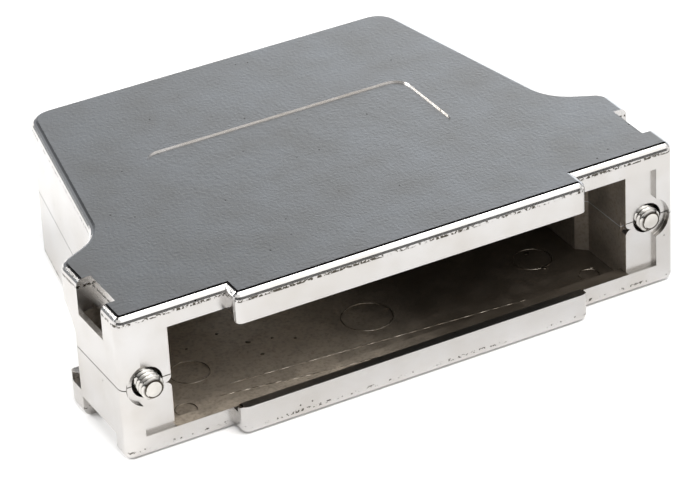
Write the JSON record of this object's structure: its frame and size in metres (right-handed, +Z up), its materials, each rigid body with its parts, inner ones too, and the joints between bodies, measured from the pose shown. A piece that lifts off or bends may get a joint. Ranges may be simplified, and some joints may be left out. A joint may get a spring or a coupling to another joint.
{
  "type": "d-sub connector hood",
  "caption": "Flat two-shell die-cast metal hood for a D-sub connector, with floating jackscrews in its wings, an inner cable clamp and a straight rear cable outlet.",
  "frame": {"origin": "midway between the two jackscrew axes, in the front plane of the wings", "axes": "+X along the connector's length, +Y from the connector towards the cable outlet, +Z up through the labelled shell"},
  "size_m": [0.0702, 0.0497, 0.0181],
  "materials": {
    "shell": "satin nickel plate on die-cast zinc",
    "jackscrew": "bright nickel-plated steel",
    "ring": "phosphated spring steel",
    "clamp": "satin nickel plate on die-cast zinc",
    "screw": "zinc-plated steel"
  },
  "bodies": {
    "hood": {"upper_shell": "shell", "lower_shell": "shell", "clamp_upper": "clamp", "clamp_lower": "clamp", "clamp_screw_left": "screw", "clamp_screw_right": "screw", "case_screw_left": "screw", "case_screw_right": "screw"},
    "ring_left": {"snap_ring_left": "ring"},
    "ring_right": {"snap_ring_right": "ring"},
    "screw_left": {"jackscrew_left": "jackscrew"},
    "screw_right": {"jackscrew_right": "jackscrew"}
  },
  "joints": [
    {"name": "left_float", "type": "slide", "parent": "hood", "child": "ring_left", "axis": [0, 1, 0], "range_m": [-0.00285, 0.00275]},
    {"name": "left_turn", "type": "hinge", "parent": "ring_left", "child": "screw_left", "pos_m": [-0.03175, 0, 0], "axis": [0, -1, 0], "continuous": true},
    {"name": "right_float", "type": "slide", "parent": "hood", "child": "ring_right", "axis": [0, 1, 0], "range_m": [-0.00365, 0.00195]},
    {"name": "right_turn", "type": "hinge", "parent": "ring_right", "child": "screw_right", "pos_m": [0.03175, 0, 0], "axis": [0, -1, 0], "continuous": true}
  ]
}
